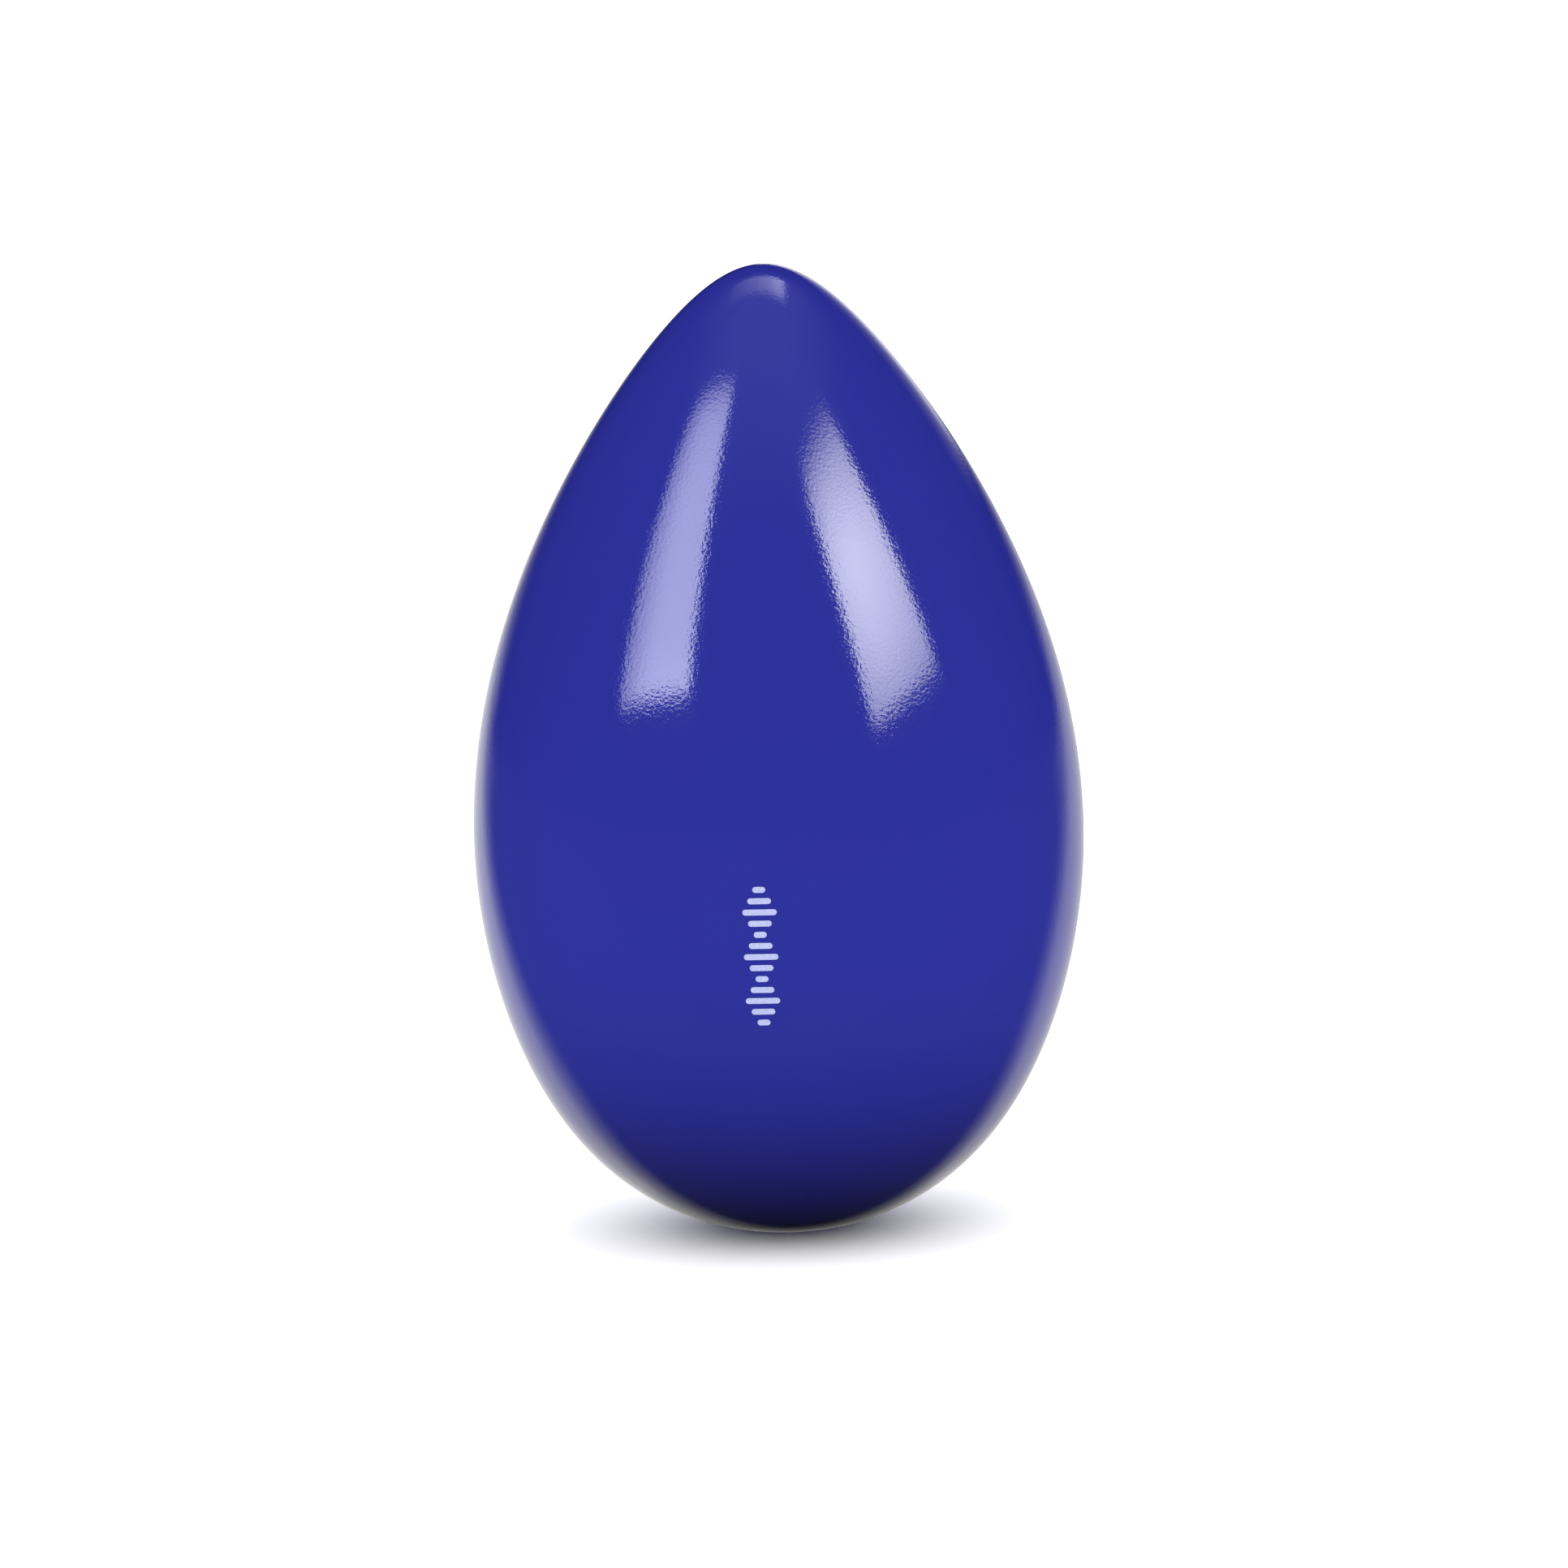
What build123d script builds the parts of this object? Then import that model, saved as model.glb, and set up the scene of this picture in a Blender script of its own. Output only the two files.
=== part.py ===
from build123d import *

import math
import os

# An egg shaker that stands on its blunt end. Two moulded half shells lap at the girth and are
# cemented together, a small mark is printed on the front, and loose steel pellets lie inside.
# Millimetres, +Z up, origin at the centre of the foot, printed mark towards -Y.

# Outline of the egg. Both halves are ellipsoids, one slimmed towards the tip and one filled out
# towards the blunt pole, which the flat foot cuts off.
GIRTH_RADIUS = 22.0
GIRTH_HEIGHT = 28.75
POINTED_LENGTH = 41.05
BLUNT_LENGTH = 29.05
POINTED_TAPER = 0.352
BLUNT_FULLNESS = 0.11
TIP_ANGLE = 90.0
BLUNT_ANGLE = -90.0
CURVE_SPANS = 12

# Half shells and the lap joint between them
WALL = 1.8
TONGUE_THICKNESS = 0.8
TONGUE_DEPTH = 2.5
TONGUE_CHAMFER = 0.25
LAP_CLEARANCE = 0.05
CEMENT_THICKNESS = 0.4

# Pellets, in one layer of a hexagonal pattern on the floor of the cavity
PELLET_RADIUS = 2.5
PELLET_GAP = 0.3
PELLET_RINGS = 2
REST_CLEARANCE = 0.1
HALVINGS = 40

# Printed mark: a column of short bars, long and short like a beat, in raised ink
INK_THICKNESS = 0.04
MARK_BOTTOM = 18.5
MARK_TOP = 28.1
BAR_COUNT = 13
BAR_THICKNESS = 0.42
LONGEST_BAR = 2.4
SHORTEST_BAR = 0.9
BEATS = 3


def egg_point(angle, inset=0.0):
    """Radius and height of the outline at a polar angle, moved inset inwards along its normal.

    The angle runs from -90 degrees at the blunt pole, through 0 at the girth, to 90 at the tip.
    """
    sine = math.sin(math.radians(angle))
    cosine = math.cos(math.radians(angle))
    if angle >= 0:
        length = POINTED_LENGTH
        shape = 1 - POINTED_TAPER * sine**2
        shape_slope = -2 * POINTED_TAPER * sine
    else:
        length = BLUNT_LENGTH
        shape = 1 - BLUNT_FULLNESS * sine**3
        shape_slope = -3 * BLUNT_FULLNESS * sine**2
    run = GIRTH_RADIUS * (shape_slope * cosine**2 - shape * sine)
    rise = length * cosine
    speed = math.hypot(run, rise)
    radius = GIRTH_RADIUS * cosine * shape - inset * rise / speed
    height = GIRTH_HEIGHT + length * sine + inset * run / speed
    return radius, height


def half_egg(pole_angle, inset=0.0):
    """Solid half of the egg, from the girth to one pole, with its skin inset inside the outline."""
    points = []
    for step in range(CURVE_SPANS + 1):
        radius, height = egg_point(pole_angle * step / CURVE_SPANS, inset)
        points.append((radius, 0, height))
    outline = Spline(*points, tangents=[(0, 0, math.copysign(1, pole_angle)), (-1, 0, 0)])
    centre = (0, 0, GIRTH_HEIGHT)
    section = make_face(Line(centre, outline @ 0) + outline + Line(outline @ 1, centre))
    return revolve(section, Axis.Z)


def ring(inner_radius, outer_radius, bottom, top):
    """Plain ring about Z between two heights."""
    height = top - bottom
    solid = Cylinder(outer_radius, height) - Cylinder(inner_radius, height)
    return Pos(0, 0, bottom + height / 2) * solid


def upper_shell():
    """Pointed half, with a tongue that reaches down inside the rim of the lower half."""
    inner_radius = GIRTH_RADIUS - WALL
    tongue = ring(inner_radius, inner_radius + TONGUE_THICKNESS, GIRTH_HEIGHT - TONGUE_DEPTH, GIRTH_HEIGHT)
    leading_edge = tongue.edges().group_by(Axis.Z)[0].sort_by(SortBy.RADIUS)[-1]
    tongue = chamfer(leading_edge, TONGUE_CHAMFER)
    return half_egg(TIP_ANGLE) - half_egg(TIP_ANGLE, WALL) + tongue


def lower_shell():
    """Blunt half, cut flat at the foot and rebated inside its rim for the tongue and cement."""
    rebate_radius = GIRTH_RADIUS - WALL + TONGUE_THICKNESS + LAP_CLEARANCE
    rebate_depth = TONGUE_DEPTH + CEMENT_THICKNESS
    rebate = Pos(0, 0, GIRTH_HEIGHT - rebate_depth / 2) * Cylinder(rebate_radius, rebate_depth)
    standing_half = split(half_egg(BLUNT_ANGLE), Plane.XY, Keep.TOP)
    return standing_half - half_egg(BLUNT_ANGLE, WALL) - rebate


def cement_ring():
    """Ring of set cement between the tongue's end and the floor of the rebate."""
    inner_radius = GIRTH_RADIUS - WALL
    top = GIRTH_HEIGHT - TONGUE_DEPTH
    return ring(inner_radius, inner_radius + TONGUE_THICKNESS, top - CEMENT_THICKNESS, top)


def bar_length(position):
    """Length of the bar at a position from 0 to 1 up the mark: the bars swell once a beat."""
    swell = math.sin(math.pi * BEATS * position) ** 2
    return SHORTEST_BAR + (LONGEST_BAR - SHORTEST_BAR) * swell


def printed_mark():
    """Column of round-ended bars of ink that follow the lower shell's front."""
    bars = Part()
    for index in range(BAR_COUNT):
        position = index / (BAR_COUNT - 1)
        height = MARK_BOTTOM + (MARK_TOP - MARK_BOTTOM) * position
        outline = Plane.XZ * Pos(0, height) * SlotOverall(bar_length(position), BAR_THICKNESS)
        bars += extrude(outline, GIRTH_RADIUS + INK_THICKNESS)
    ink_skin = half_egg(BLUNT_ANGLE, -INK_THICKNESS) - half_egg(BLUNT_ANGLE)
    return ink_skin & bars


def pellet_places():
    """Plan positions of the pellets, from the middle outwards."""
    pitch = 2 * PELLET_RADIUS + PELLET_GAP
    places = []
    for row in range(-PELLET_RINGS, PELLET_RINGS + 1):
        for column in range(-PELLET_RINGS, PELLET_RINGS + 1):
            if abs(row + column) <= PELLET_RINGS:
                x = pitch * (column + row / 2)
                y = pitch * row * math.sqrt(3) / 2
                places.append((x, y))
    return sorted(places, key=lambda place: (round(math.hypot(*place), 3), place))


def rest_height(plan_radius):
    """Height of a pellet's centre when it lies on the cavity's floor, plan_radius off the axis."""
    inset = WALL + REST_CLEARANCE + PELLET_RADIUS
    low = BLUNT_ANGLE
    high = 0.0
    for _ in range(HALVINGS):
        middle = (low + high) / 2
        if egg_point(middle, inset)[0] < plan_radius:
            low = middle
        else:
            high = middle
    return egg_point(low, inset)[1]


def pellet(place):
    """Steel ball lying at its place on the floor of the cavity."""
    return Pos(*place, rest_height(math.hypot(*place))) * Sphere(PELLET_RADIUS)


def build():
    """Every node of the shaker, by name."""
    nodes = {
        "upper_shell": upper_shell(),
        "lower_shell": lower_shell(),
        "cement_ring": cement_ring(),
        "printed_mark": printed_mark(),
    }
    for number, place in enumerate(pellet_places(), start=1):
        nodes[f"pellet_{number:02d}"] = pellet(place)
    return nodes


os.makedirs("parts", exist_ok=True)
for name, shape in build().items():
    export_step(shape, f"parts/{name}.step")
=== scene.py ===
import math

import bpy
from mathutils import Matrix, Vector

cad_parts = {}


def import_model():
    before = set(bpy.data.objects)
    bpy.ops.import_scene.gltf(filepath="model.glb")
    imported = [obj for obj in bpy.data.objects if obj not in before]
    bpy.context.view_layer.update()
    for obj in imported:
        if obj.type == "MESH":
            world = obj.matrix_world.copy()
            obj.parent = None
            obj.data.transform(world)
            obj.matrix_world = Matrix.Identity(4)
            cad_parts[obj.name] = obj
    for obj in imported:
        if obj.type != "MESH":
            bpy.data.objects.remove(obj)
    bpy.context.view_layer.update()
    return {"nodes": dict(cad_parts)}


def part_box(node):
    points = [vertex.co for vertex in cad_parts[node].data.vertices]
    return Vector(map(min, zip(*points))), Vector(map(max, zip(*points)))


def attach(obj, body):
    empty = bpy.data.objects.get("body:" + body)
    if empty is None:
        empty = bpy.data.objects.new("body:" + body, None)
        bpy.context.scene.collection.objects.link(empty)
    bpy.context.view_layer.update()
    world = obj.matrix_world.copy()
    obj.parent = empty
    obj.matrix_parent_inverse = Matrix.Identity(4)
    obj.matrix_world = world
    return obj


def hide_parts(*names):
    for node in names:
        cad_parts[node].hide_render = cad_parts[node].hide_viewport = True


# The egg shaker's looks. Everything is in metres, in the part's own frame: +Z up, the egg stands
# on the origin, and its printed mark faces -Y.

MM = 0.001

# Shape of the shell that the frame's boxes don't give: how slim and how full the two half
# ellipsoids are, and the section of the wall and of its lap joint
POINTED_TAPER = 0.352
BLUNT_FULLNESS = 0.11
BLUNT_CUT = 0.3 * MM
TIP_ANGLE = 90
BLUNT_ANGLE = -90
WALL = 1.8 * MM
TONGUE_THICKNESS = 0.8 * MM
TONGUE_CHAMFER = 0.25 * MM
LAP_CLEARANCE = 0.05 * MM

# How finely the shell is meshed, and how it is shaded
SEGMENTS = 160
SKIN_RINGS = 72
SEAM_RING_ANGLE = 0.05
SHARP_ANGLE = 30
HALVINGS = 40

# Sockets of Blender's Mix node when it mixes colours
MIX_FIRST_COLOUR = 6
MIX_SECOND_COLOUR = 7
MIX_COLOUR_RESULT = 2

# The camera: a long lens, a little above the egg and a little to its right
CAMERA_ELEVATION = 8.5
CAMERA_AZIMUTH = 3.9
CAMERA_ROLL = 1.67
CAMERA_DISTANCE = 596 * MM
CAMERA_LENS = 190.0
CAMERA_CLIP = (10 * MM, 100)
SENSOR = 36.0
EGG_LEFT_OF_FRAME = 0.55 * MM
EGG_ABOVE_FRAME = 2.65 * MM

# Light: an even white surround, and a floor that is whiter than white, as over-exposed paper is
AMBIENT = 1.19
FLOOR_WHITE = 1.55
FLOOR_SIZE = 12.0

# The floor as the egg meets it, on two cards just under the floor
CARD_DROP = 0.01 * MM

# In even light the floor is dark round the foot and brightest just beyond
BOUNCE_REACH = 100 * MM
BOUNCE_PEAK = 2.7
BOUNCE_STOPS = ((0.32, 0), (0.4, 1), (0.5, 0.6), (0.6, 0.38), (0.8, 0.41), (1, 0.41))

# In reflections the floor is white only behind a curved front edge, which is crisp in front of the
# egg and blurs to the sides
EDGE_AHEAD = 5 * MM
EDGE_SKEW = 4.2 * MM
EDGE_SKEW_REACH = 30 * MM
EDGE_ROUNDING = 118 * MM
EDGE_SLOPE = 1.63
EDGE_BLUR = 2 * MM
EDGE_BLUR_SPREAD = 0.2
EDGE_BLUR_GROWTH = 450 * MM
EDGE_BLUR_REACH = 500 * MM
FLOOR_TINT = (1, 0.98, 0.93, 1)
FRONT_GLOW = 0.05
SIDE_REACH = 20 * MM
SIDE_GLOW = (1.0, 0.8)
FAR_REACH = (250 * MM, 1500 * MM)
FAR_GLOW = 0.6
FOOT_SHADOW = (6 * MM, 13 * MM)
FOOT_GLOW = 0.28

# What else shows in the gloss: the softboxes stand this far from the egg's middle, and the lights
# are neutral or a little blue
BOX_DISTANCE = 600 * MM
COOL = (0.93, 0.95, 1.14, 1)
NEUTRAL = (1, 1, 1, 1)

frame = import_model()

GIRTH_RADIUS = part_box("lower_shell")[1].x
GIRTH_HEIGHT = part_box("lower_shell")[1].z
TIP_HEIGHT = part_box("upper_shell")[1].z
TONGUE_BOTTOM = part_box("upper_shell")[0].z
REBATE_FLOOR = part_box("cement_ring")[0].z
POINTED_LENGTH = TIP_HEIGHT - GIRTH_HEIGHT
BLUNT_LENGTH = GIRTH_HEIGHT + BLUNT_CUT
EGG_MIDDLE = Vector((0, 0, TIP_HEIGHT / 2))


# ---------------------------------------------------------------- shape


def egg_point(angle, inset=0.0):
    """Radius and height of the outline at a polar angle, moved inset inwards along its normal.

    The angle runs from -90 degrees at the blunt pole, through 0 at the girth, to 90 at the tip.
    """
    sine = math.sin(math.radians(angle))
    cosine = math.cos(math.radians(angle))
    if angle >= 0:
        length = POINTED_LENGTH
        shape = 1 - POINTED_TAPER * sine**2
        shape_slope = -2 * POINTED_TAPER * sine
    else:
        length = BLUNT_LENGTH
        shape = 1 - BLUNT_FULLNESS * sine**3
        shape_slope = -3 * BLUNT_FULLNESS * sine**2
    run = GIRTH_RADIUS * (shape_slope * cosine**2 - shape * sine)
    rise = length * cosine
    speed = math.hypot(run, rise)
    radius = GIRTH_RADIUS * cosine * shape - inset * rise / speed
    height = GIRTH_HEIGHT + length * sine + inset * run / speed
    return radius, height


def skin(start, end, inset=0.0):
    """Section points along the outline from one polar angle to another, both ends included."""
    steps = [start + (end - start) * ring / SKIN_RINGS for ring in range(SKIN_RINGS + 1)]
    return [egg_point(angle, inset) for angle in steps]


def cavity_angle(height):
    """Polar angle at which the cavity's wall in the blunt half stands at a height."""
    low = float(BLUNT_ANGLE)
    high = 0.0
    for _ in range(HALVINGS):
        middle = (low + high) / 2
        if egg_point(middle, WALL)[1] < height:
            low = middle
        else:
            high = middle
    return low


def upper_shell_section():
    """Down the outside from the tip, round the tongue, and up the cavity to the tip."""
    inner = GIRTH_RADIUS - WALL
    tongue = inner + TONGUE_THICKNESS
    outside = skin(TIP_ANGLE, SEAM_RING_ANGLE) + [egg_point(0)]
    joint = [
        (tongue, GIRTH_HEIGHT),
        (tongue, TONGUE_BOTTOM + TONGUE_CHAMFER),
        (tongue - TONGUE_CHAMFER, TONGUE_BOTTOM),
        (inner, TONGUE_BOTTOM),
    ]
    inside = skin(0, TIP_ANGLE, WALL)
    return outside + joint + inside


def lower_shell_section():
    """Across the foot, up the outside, and down the rebate and the cavity."""
    rebate = GIRTH_RADIUS - WALL + TONGUE_THICKNESS + LAP_CLEARANCE
    foot_angle = -math.degrees(math.asin(GIRTH_HEIGHT / BLUNT_LENGTH))
    outside = [(0, 0)] + skin(foot_angle, -SEAM_RING_ANGLE) + [egg_point(0)]
    joint = [(rebate, GIRTH_HEIGHT), (rebate, REBATE_FLOOR)]
    inside = skin(cavity_angle(REBATE_FLOOR), BLUNT_ANGLE, WALL)
    return outside + joint + inside


def revolve(name, section):
    """Closed mesh from a section that starts and ends on the axis, with crisp corners kept crisp."""
    vertices = [(0, 0, section[0][1])]
    rings = section[1:-1]
    for radius, height in rings:
        for segment in range(SEGMENTS):
            turn = 2 * math.pi * segment / SEGMENTS
            vertices.append((radius * math.cos(turn), radius * math.sin(turn), height))
    vertices.append((0, 0, section[-1][1]))
    last = len(vertices) - 1
    faces = []
    for segment in range(SEGMENTS):
        following = (segment + 1) % SEGMENTS
        faces.append((0, 1 + following, 1 + segment))
        for ring in range(len(rings) - 1):
            here = 1 + ring * SEGMENTS
            there = here + SEGMENTS
            faces.append((here + segment, here + following, there + following, there + segment))
        end = 1 + (len(rings) - 1) * SEGMENTS
        faces.append((end + segment, end + following, last))
    mesh = bpy.data.meshes.new(name)
    mesh.from_pydata(vertices, [], faces)
    mesh.update()
    mesh.shade_smooth()
    mesh.set_sharp_from_angle(angle=math.radians(SHARP_ANGLE))
    piece = bpy.data.objects.new(name, mesh)
    bpy.context.scene.collection.objects.link(piece)
    return piece


# ---------------------------------------------------------------- shader nodes


class Nodes:
    """Short ways to add shader nodes to one material."""

    def __init__(self, tree):
        self.tree = tree

    def add(self, kind, **inputs):
        """New node, with its inputs set or linked by name, underscores standing for spaces."""
        node = self.tree.nodes.new(kind)
        for name, value in inputs.items():
            self.put(node, name.replace("_", " "), value)
        return node

    def put(self, node, socket, value):
        """Sets an input, given by name or number, or links it to another node's output."""
        if isinstance(value, bpy.types.NodeSocket):
            self.tree.links.new(value, node.inputs[socket])
        else:
            node.inputs[socket].default_value = value

    def place(self):
        """X, Y and Z in the object's own space."""
        where = self.add("ShaderNodeTexCoord")
        return self.add("ShaderNodeSeparateXYZ", Vector=where.outputs["Object"]).outputs

    def noise(self, size, detail=2.0, roughness=0.5):
        """Noise with features of about that size, in metres, in the object's own space."""
        where = self.add("ShaderNodeTexCoord")
        return self.add(
            "ShaderNodeTexNoise",
            Vector=where.outputs["Object"],
            Scale=1 / size,
            Detail=detail,
            Roughness=roughness,
        ).outputs["Fac"]

    def span(self, value, low, high, start=0.3, stop=0.7):
        """Maps a value from start..stop to low..high, and no further."""
        return self.add(
            "ShaderNodeMapRange",
            Value=value,
            From_Min=start,
            From_Max=stop,
            To_Min=low,
            To_Max=high,
        ).outputs["Result"]

    def calc(self, operation, first, second=0.0):
        """One step of arithmetic."""
        node = self.add("ShaderNodeMath")
        node.operation = operation
        self.put(node, 0, first)
        self.put(node, 1, second)
        return node.outputs[0]

    def ramp(self, value, stops):
        """Maps 0..1 through (position, level) stops, with soft bends."""
        node = self.add("ShaderNodeValToRGB", Fac=value)
        node.color_ramp.interpolation = "CARDINAL"
        elements = node.color_ramp.elements
        for position, _ in stops[1:-1]:
            elements.new(position)
        for element, (position, level) in zip(elements, stops):
            element.position = position
            element.color = (level, level, level, 1)
        return node.outputs["Color"]

    def blend_colours(self, factor, first, second):
        """Mixes two (red, green, blue) colours."""
        node = self.add("ShaderNodeMix")
        node.data_type = "RGBA"
        self.put(node, "Factor", factor)
        self.put(node, MIX_FIRST_COLOUR, (*first, 1))
        self.put(node, MIX_SECOND_COLOUR, (*second, 1))
        return node.outputs[MIX_COLOUR_RESULT]

    def bump(self, height, distance, base=None):
        """Normals of a relief of this depth, on top of a base relief if one is given."""
        node = self.add("ShaderNodeBump", Height=height, Distance=distance)
        if base is not None:
            self.put(node, "Normal", base)
        return node.outputs["Normal"]


def new_material(name, kind, **inputs):
    """New material with one shader. Returns the material, its node helper and the shader."""
    material = bpy.data.materials.new(name)
    material.use_nodes = True
    tree = material.node_tree
    tree.nodes.clear()
    nodes = Nodes(tree)
    shader = nodes.add(kind, **inputs)
    nodes.add("ShaderNodeOutputMaterial", Surface=shader.outputs[0])
    return material, nodes, shader


# ---------------------------------------------------------------- materials of the egg


def shell_plastic():
    """Deep ultramarine gloss plastic: faint mottle, a hand's faint smudges, faint orange peel."""
    material, nodes, shader = new_material("shell_plastic", "ShaderNodeBsdfPrincipled", IOR=1.5)
    mottle = nodes.noise(size=9 * MM, detail=3)
    colour = nodes.blend_colours(mottle, (0.0215, 0.0255, 0.279), (0.0235, 0.0275, 0.292))
    nodes.put(shader, "Base Color", colour)
    smudge = nodes.noise(size=6 * MM, detail=5, roughness=0.6)
    nodes.put(shader, "Roughness", nodes.span(smudge, low=0.06, high=0.09))
    ripple = nodes.bump(nodes.noise(size=1.6 * MM, detail=1), distance=0.004 * MM)
    peel = nodes.noise(size=0.24 * MM, detail=2)
    nodes.put(shader, "Normal", nodes.bump(peel, distance=0.009 * MM, base=ripple))
    return material


def mark_ink():
    """Pale pad-printed ink: matt, a little grainy, thinner in specks."""
    material, nodes, shader = new_material("mark_ink", "ShaderNodeBsdfPrincipled", IOR=1.45)
    speck = nodes.noise(size=0.12 * MM, detail=3)
    cover = nodes.span(speck, low=0, high=1)
    nodes.put(shader, "Base Color", nodes.blend_colours(cover, (0.38, 0.43, 0.74), (0.52, 0.57, 0.83)))
    nodes.put(shader, "Roughness", nodes.span(speck, low=0.38, high=0.55))
    nodes.put(shader, "Normal", nodes.bump(speck, distance=0.004 * MM))
    return material


def pellet_steel():
    """Polished bearing steel, scuffed by the other pellets."""
    material, nodes, shader = new_material("pellet_steel", "ShaderNodeBsdfPrincipled", Metallic=1.0)
    tone = nodes.noise(size=2.2 * MM, detail=3)
    nodes.put(shader, "Base Color", nodes.blend_colours(tone, (0.56, 0.57, 0.59), (0.66, 0.67, 0.68)))
    scuff = nodes.noise(size=0.5 * MM, detail=5, roughness=0.7)
    nodes.put(shader, "Roughness", nodes.span(scuff, low=0.1, high=0.32))
    nodes.put(shader, "Normal", nodes.bump(scuff, distance=0.002 * MM))
    return material


def cement():
    """Set cement: cloudy amber, smooth where it wetted the joint."""
    material, nodes, shader = new_material("cement", "ShaderNodeBsdfPrincipled", IOR=1.5)
    cloud = nodes.noise(size=1.5 * MM, detail=4)
    nodes.put(shader, "Base Color", nodes.blend_colours(cloud, (0.52, 0.46, 0.32), (0.66, 0.62, 0.48)))
    nodes.put(shader, "Roughness", nodes.span(cloud, low=0.25, high=0.45))
    nodes.put(shader, "Normal", nodes.bump(cloud, distance=0.02 * MM))
    return material


# ---------------------------------------------------------------- the egg


def shell_skins():
    """The two shell halves, meshed finely so that the gloss has no facets."""
    plastic = shell_plastic()
    sections = {"upper_shell": upper_shell_section(), "lower_shell": lower_shell_section()}
    for node, section in sections.items():
        piece = revolve(node + "_skin", section)
        piece.data.materials.append(plastic)
        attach(piece, "shell")
        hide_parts(node)


def cad_finishes():
    """Materials of the pieces that stay as the frame gives them."""
    finishes = {"printed_mark": mark_ink(), "cement_ring": cement()}
    steel = pellet_steel()
    for name in frame["nodes"]:
        if name.startswith("pellet_"):
            finishes[name] = steel
    for name, material in finishes.items():
        for slot in frame["nodes"][name].material_slots:
            slot.material = material


# ---------------------------------------------------------------- studio


def seen_by(thing, camera=False, diffuse=False, glossy=False, shadow=False):
    """Which rays see a thing of the studio."""
    thing.visible_camera = camera
    thing.visible_diffuse = diffuse
    thing.visible_glossy = glossy
    thing.visible_shadow = shadow
    thing.visible_transmission = False
    thing.visible_volume_scatter = False


def plane(name, size_x, size_y):
    """Flat rectangle about the origin, facing +Z."""
    x = size_x / 2
    y = size_y / 2
    mesh = bpy.data.meshes.new(name)
    mesh.from_pydata([(-x, -y, 0), (x, -y, 0), (x, y, 0), (-x, y, 0)], [], [(0, 1, 2, 3)])
    thing = bpy.data.objects.new(name, mesh)
    bpy.context.scene.collection.objects.link(thing)
    return thing


def direction(azimuth, elevation):
    """Unit vector towards an azimuth from the front, positive to the right, and an elevation."""
    around = math.radians(azimuth)
    up = math.radians(elevation)
    return Vector((math.sin(around) * math.cos(up), -math.cos(around) * math.cos(up), math.sin(up)))


def facing(towards, roll):
    """Unit vectors right and up in a view from a direction, turned anticlockwise by roll degrees."""
    right = Vector((0, 0, 1)).cross(towards).normalized()
    up = towards.cross(right)
    turn = math.radians(roll)
    return right * math.cos(turn) + up * math.sin(turn), up * math.cos(turn) - right * math.sin(turn)


def floor():
    """Plain white floor. Only the camera sees it: the egg meets it as the two cards below."""
    thing = plane("floor", FLOOR_SIZE, FLOOR_SIZE)
    white = (FLOOR_WHITE, FLOOR_WHITE, FLOOR_WHITE, 1)
    thing.data.materials.append(new_material("floor_white", "ShaderNodeBsdfDiffuse", Color=white)[0])
    seen_by(thing, camera=True, shadow=True)


def floor_card(name, material):
    """Card just under the floor, too large for its glow to be worth sampling as a lamp."""
    thing = plane(name, FLOOR_SIZE, FLOOR_SIZE)
    thing.location.z = -CARD_DROP
    thing.data.materials.append(material)
    material.cycles.emission_sampling = "NONE"
    return thing


def distance_from_foot(nodes, x, y):
    """Distance along the floor from the middle of the egg's foot."""
    square = nodes.calc("ADD", nodes.calc("MULTIPLY", x, x), nodes.calc("MULTIPLY", y, y))
    return nodes.calc("SQRT", square)


def bounce_card():
    """Light from the floor onto the egg's underside: none near the foot, most just beyond it."""
    material, nodes, shader = new_material("bounce_glow", "ShaderNodeEmission")
    x, y, _ = nodes.place()
    reach = nodes.calc("DIVIDE", distance_from_foot(nodes, x, y), BOUNCE_REACH)
    nodes.put(shader, "Strength", nodes.calc("MULTIPLY", nodes.ramp(reach, BOUNCE_STOPS), BOUNCE_PEAK))
    seen_by(floor_card("bounce_card", material), diffuse=True)


def front_edge(nodes, x):
    """Y of the white floor's front edge: a rounded V that opens backwards, skewed near the egg."""
    slope = nodes.calc("ABSOLUTE", nodes.calc("MULTIPLY", x, EDGE_SLOPE))
    bend = nodes.calc("ADD", nodes.calc("POWER", slope, 2), EDGE_ROUNDING**2)
    bow = nodes.calc("SUBTRACT", nodes.calc("SQRT", bend), EDGE_ROUNDING)
    skew = nodes.span(x, -EDGE_SKEW, EDGE_SKEW, -EDGE_SKEW_REACH, EDGE_SKEW_REACH)
    return nodes.calc("ADD", bow, skew)


def edge_blur(nodes, x):
    """Width of the front edge's blur, which grows away from the axis."""
    off_axis = nodes.calc("MINIMUM", nodes.calc("ABSOLUTE", x), EDGE_BLUR_REACH)
    spread = nodes.calc("ADD", nodes.calc("DIVIDE", off_axis, EDGE_BLUR_GROWTH), EDGE_BLUR_SPREAD)
    return nodes.calc("ADD", nodes.calc("MULTIPLY", off_axis, spread), EDGE_BLUR)


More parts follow.
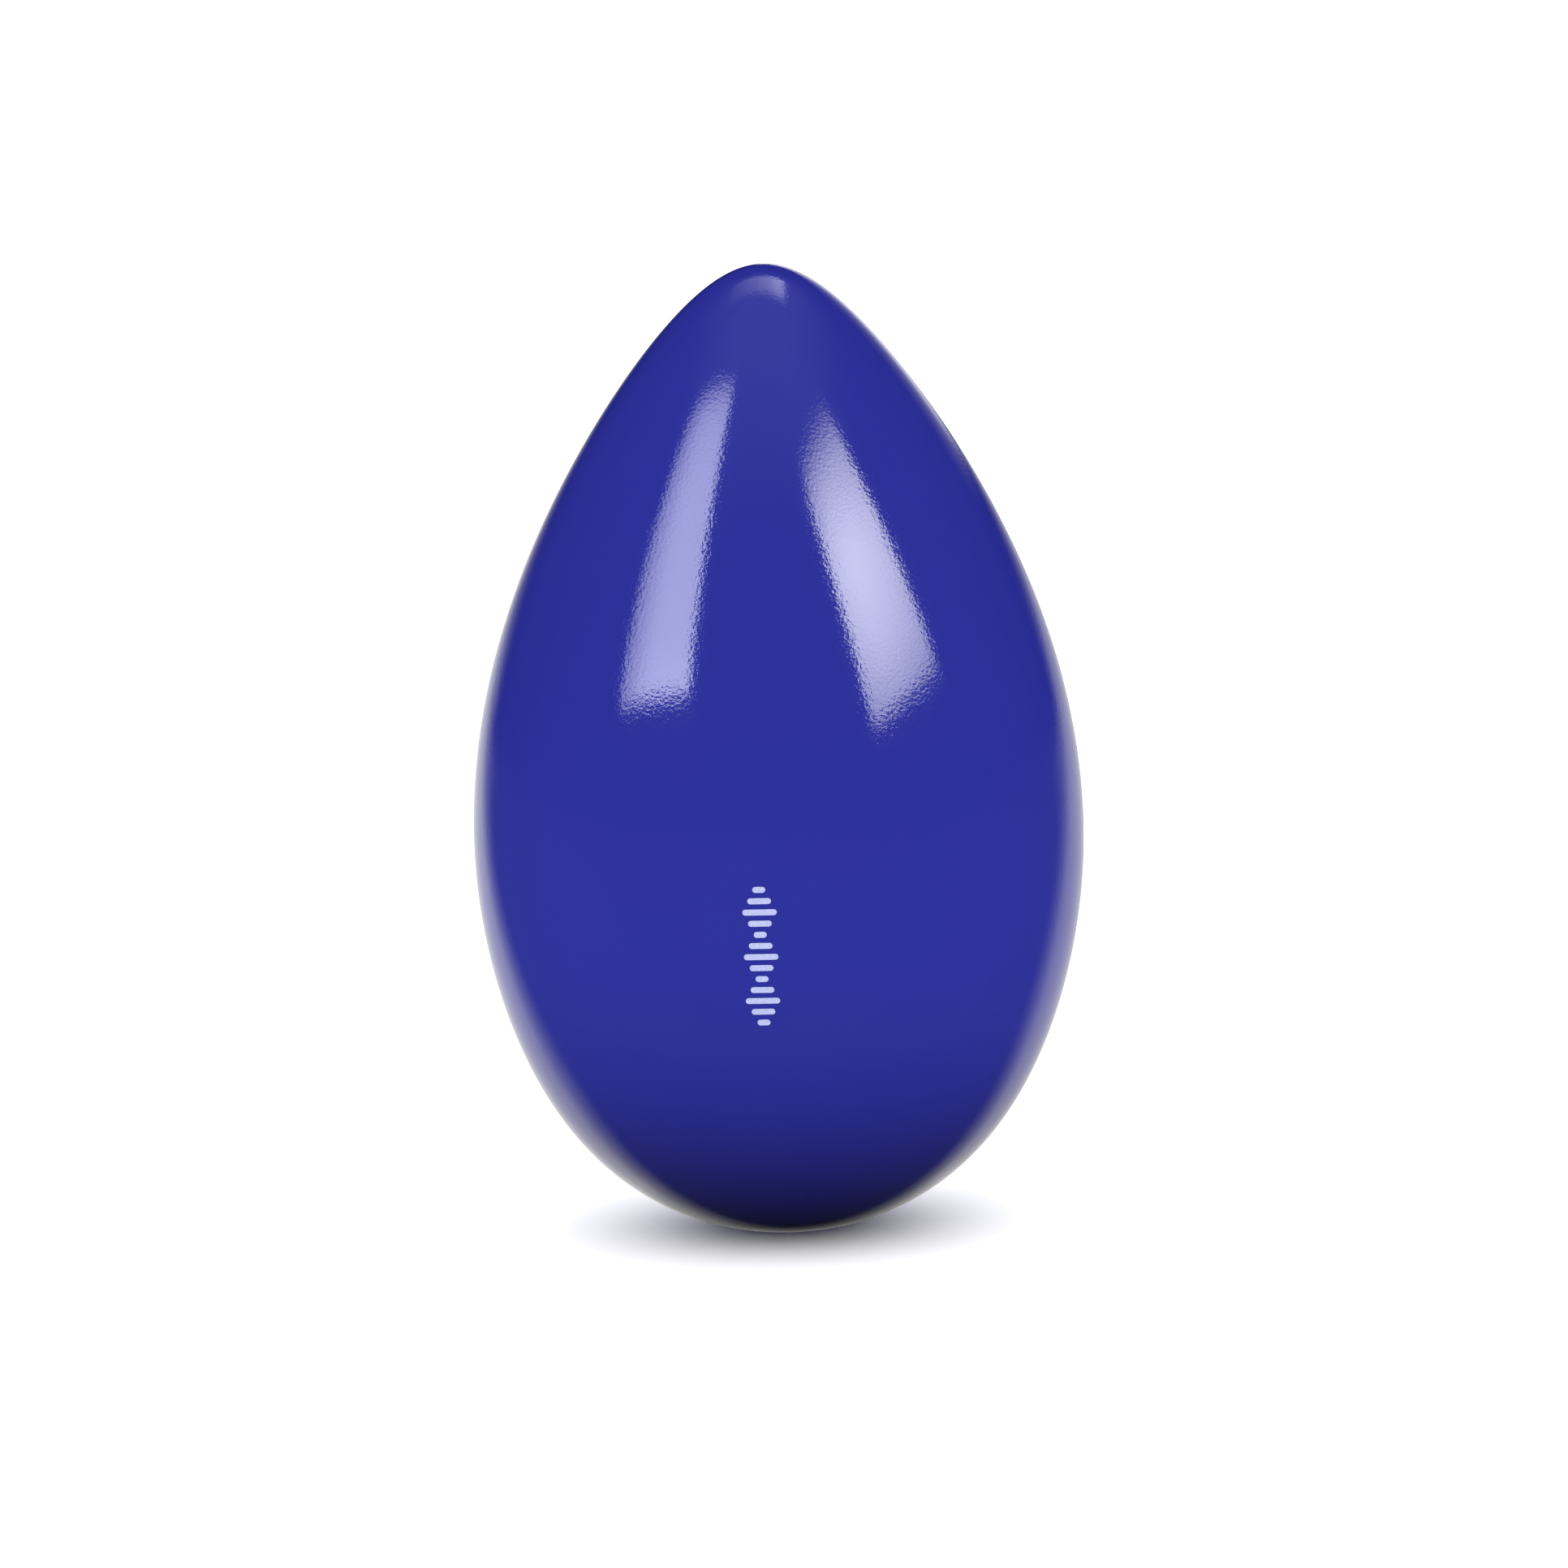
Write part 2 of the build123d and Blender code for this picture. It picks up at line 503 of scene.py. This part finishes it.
def reflection_card():
    """The floor in the egg's gloss: white behind its front edge, shadowed at the foot."""
    material, nodes, shader = new_material("reflection_glow", "ShaderNodeEmission", Color=FLOOR_TINT)
    x, y, _ = nodes.place()
    behind = nodes.calc("SUBTRACT", nodes.calc("ADD", y, EDGE_AHEAD), front_edge(nodes, x))
    white = nodes.span(nodes.calc("DIVIDE", behind, edge_blur(nodes, x)), FRONT_GLOW, 1, -0.5, 0.5)
    side = nodes.span(x, *SIDE_GLOW, -SIDE_REACH, SIDE_REACH)
    distance = distance_from_foot(nodes, x, y)
    foot = nodes.span(distance, FOOT_GLOW, 1, *FOOT_SHADOW)
    far = nodes.span(distance, 1, FAR_GLOW, *FAR_REACH)
    lit = nodes.calc("MULTIPLY", white, side)
    shade = nodes.calc("MULTIPLY", foot, far)
    nodes.put(shader, "Strength", nodes.calc("MULTIPLY", lit, shade))
    seen_by(floor_card("reflection_card", material), glossy=True)


def glowing_card(name, size, glow, tint, across, along):
    """Rectangle that shows only in reflections, its glow shaped by (position, level) stops.

    Across runs over its own X from 0 to 1, and along over its own Y.
    """
    thing = plane(name, *size)
    material, nodes, shader = new_material(name, "ShaderNodeEmission", Color=tint)
    x, y, _ = nodes.place()
    share_x = nodes.calc("ADD", nodes.calc("DIVIDE", x, size[0]), 0.5)
    share_y = nodes.calc("ADD", nodes.calc("DIVIDE", y, size[1]), 0.5)
    shape = nodes.calc("MULTIPLY", nodes.ramp(share_x, across), nodes.ramp(share_y, along))
    nodes.put(shader, "Strength", nodes.calc("MULTIPLY", shape, glow))
    thing.data.materials.append(material)
    seen_by(thing, glossy=True)
    return thing


def softbox(name, azimuth, elevation, yaw, pitch, roll, **card):
    """Glowing card in a direction from the egg. Yaw and pitch turn it away from facing the egg."""
    thing = glowing_card(name, **card)
    out = direction(azimuth + yaw, elevation + pitch)
    axis_x, axis_y = facing(out, roll)
    axes = Matrix((axis_x, axis_y, axis_x.cross(axis_y))).transposed()
    middle = EGG_MIDDLE + direction(azimuth, elevation) * BOX_DISTANCE
    thing.matrix_world = Matrix.Translation(middle) @ axes.to_4x4()


def softboxes():
    """A tall softbox on each side in front, and a dim one behind."""
    softbox(
        "softbox_left",
        azimuth=-53.6,
        elevation=44.2,
        yaw=31.2,
        pitch=-28.4,
        roll=2.7,
        size=(281.6 * MM, 513.8 * MM),
        glow=10.5,
        tint=COOL,
        across=((0, 0.4), (0.4, 0.9), (1, 1)),
        along=((0, 1), (0.15, 0.88), (0.6, 0.78), (0.85, 0.62), (1, 0.3)),
    )
    softbox(
        "softbox_right",
        azimuth=54.4,
        elevation=42.4,
        yaw=-8.3,
        pitch=-37.5,
        roll=11.9,
        size=(294 * MM, 503.6 * MM),
        glow=13.8,
        tint=NEUTRAL,
        across=((0, 0.85), (0.35, 1), (1, 0.75)),
        along=((0, 0.5), (0.12, 0.74), (0.4, 1), (0.6, 0.84), (0.8, 0.52), (1, 0.08)),
    )
    softbox(
        "softbox_back",
        azimuth=166,
        elevation=15,
        yaw=0,
        pitch=0,
        roll=-25,
        size=(360 * MM, 212 * MM),
        glow=1.08,
        tint=NEUTRAL,
        across=((0, 0.05), (0.27, 0.2), (0.45, 0.4), (0.6, 0.85), (0.75, 1)),
        along=((0, 0), (0.12, 1), (1, 1)),
    )


def ceiling():
    """A level light overhead, behind the egg, and the haze of the ceiling round it."""
    light = glowing_card(
        "ceiling_box",
        size=(900 * MM, 620 * MM),
        glow=3.2,
        tint=COOL,
        across=((0, 0.12), (0.45, 0.42), (0.7, 0.7), (0.88, 1), (1, 0.1)),
        along=((0, 0.2), (0.25, 0.95), (0.8, 1), (1, 0.2)),
    )
    light.location = (-85 * MM, 446 * MM, 1200 * MM)
    haze = glowing_card(
        "ceiling_haze",
        size=(2200 * MM, 2200 * MM),
        glow=0.34,
        tint=COOL,
        across=((0, 0), (0.35, 1), (0.65, 1), (1, 0)),
        along=((0, 0), (0.35, 1), (0.65, 1), (1, 0)),
    )
    haze.location = (0, 0, 1250 * MM)


def backdrop():
    """Foot of the backdrop far behind, where the white floor fades upwards into the dark."""
    height = 230 * MM
    thing = glowing_card(
        "backdrop",
        size=(2360 * MM, height),
        glow=0.7,
        tint=NEUTRAL,
        across=((0, 0), (0.15, 0.75), (0.75, 1), (0.9, 0.75), (1, 0.1)),
        along=((0, 1), (0.25, 0.55), (0.55, 0.25), (1, 0)),
    )
    thing.location = (-170 * MM, 1500 * MM, height / 2)
    thing.rotation_euler.x = math.radians(90)


def world():
    """Even white surround, which is black in reflections."""
    surround = bpy.data.worlds.new("surround")
    bpy.context.scene.world = surround
    surround.use_nodes = True
    background = surround.node_tree.nodes["Background"]
    background.inputs["Color"].default_value = (1, 1, 1, 1)
    background.inputs["Strength"].default_value = AMBIENT
    surround.cycles_visibility.glossy = False


def camera():
    """Long lens from the front, a little above the egg, rolled so that the egg leans slightly."""
    towards = direction(CAMERA_AZIMUTH, CAMERA_ELEVATION)
    across, upwards = facing(towards, -CAMERA_ROLL)
    aim = EGG_MIDDLE + across * EGG_LEFT_OF_FRAME - upwards * EGG_ABOVE_FRAME
    data = bpy.data.cameras.new("camera")
    data.lens = CAMERA_LENS
    data.sensor_width = SENSOR
    data.clip_start, data.clip_end = CAMERA_CLIP
    thing = bpy.data.objects.new("camera", data)
    bpy.context.scene.collection.objects.link(thing)
    axes = Matrix((across, upwards, towards)).transposed()
    thing.matrix_world = Matrix.Translation(aim + towards * CAMERA_DISTANCE) @ axes.to_4x4()
    bpy.context.scene.camera = thing


shell_skins()
cad_finishes()
camera()
world()
floor()
bounce_card()
reflection_card()
backdrop()
softboxes()
ceiling()
bpy.context.scene.view_settings.view_transform = "Standard"
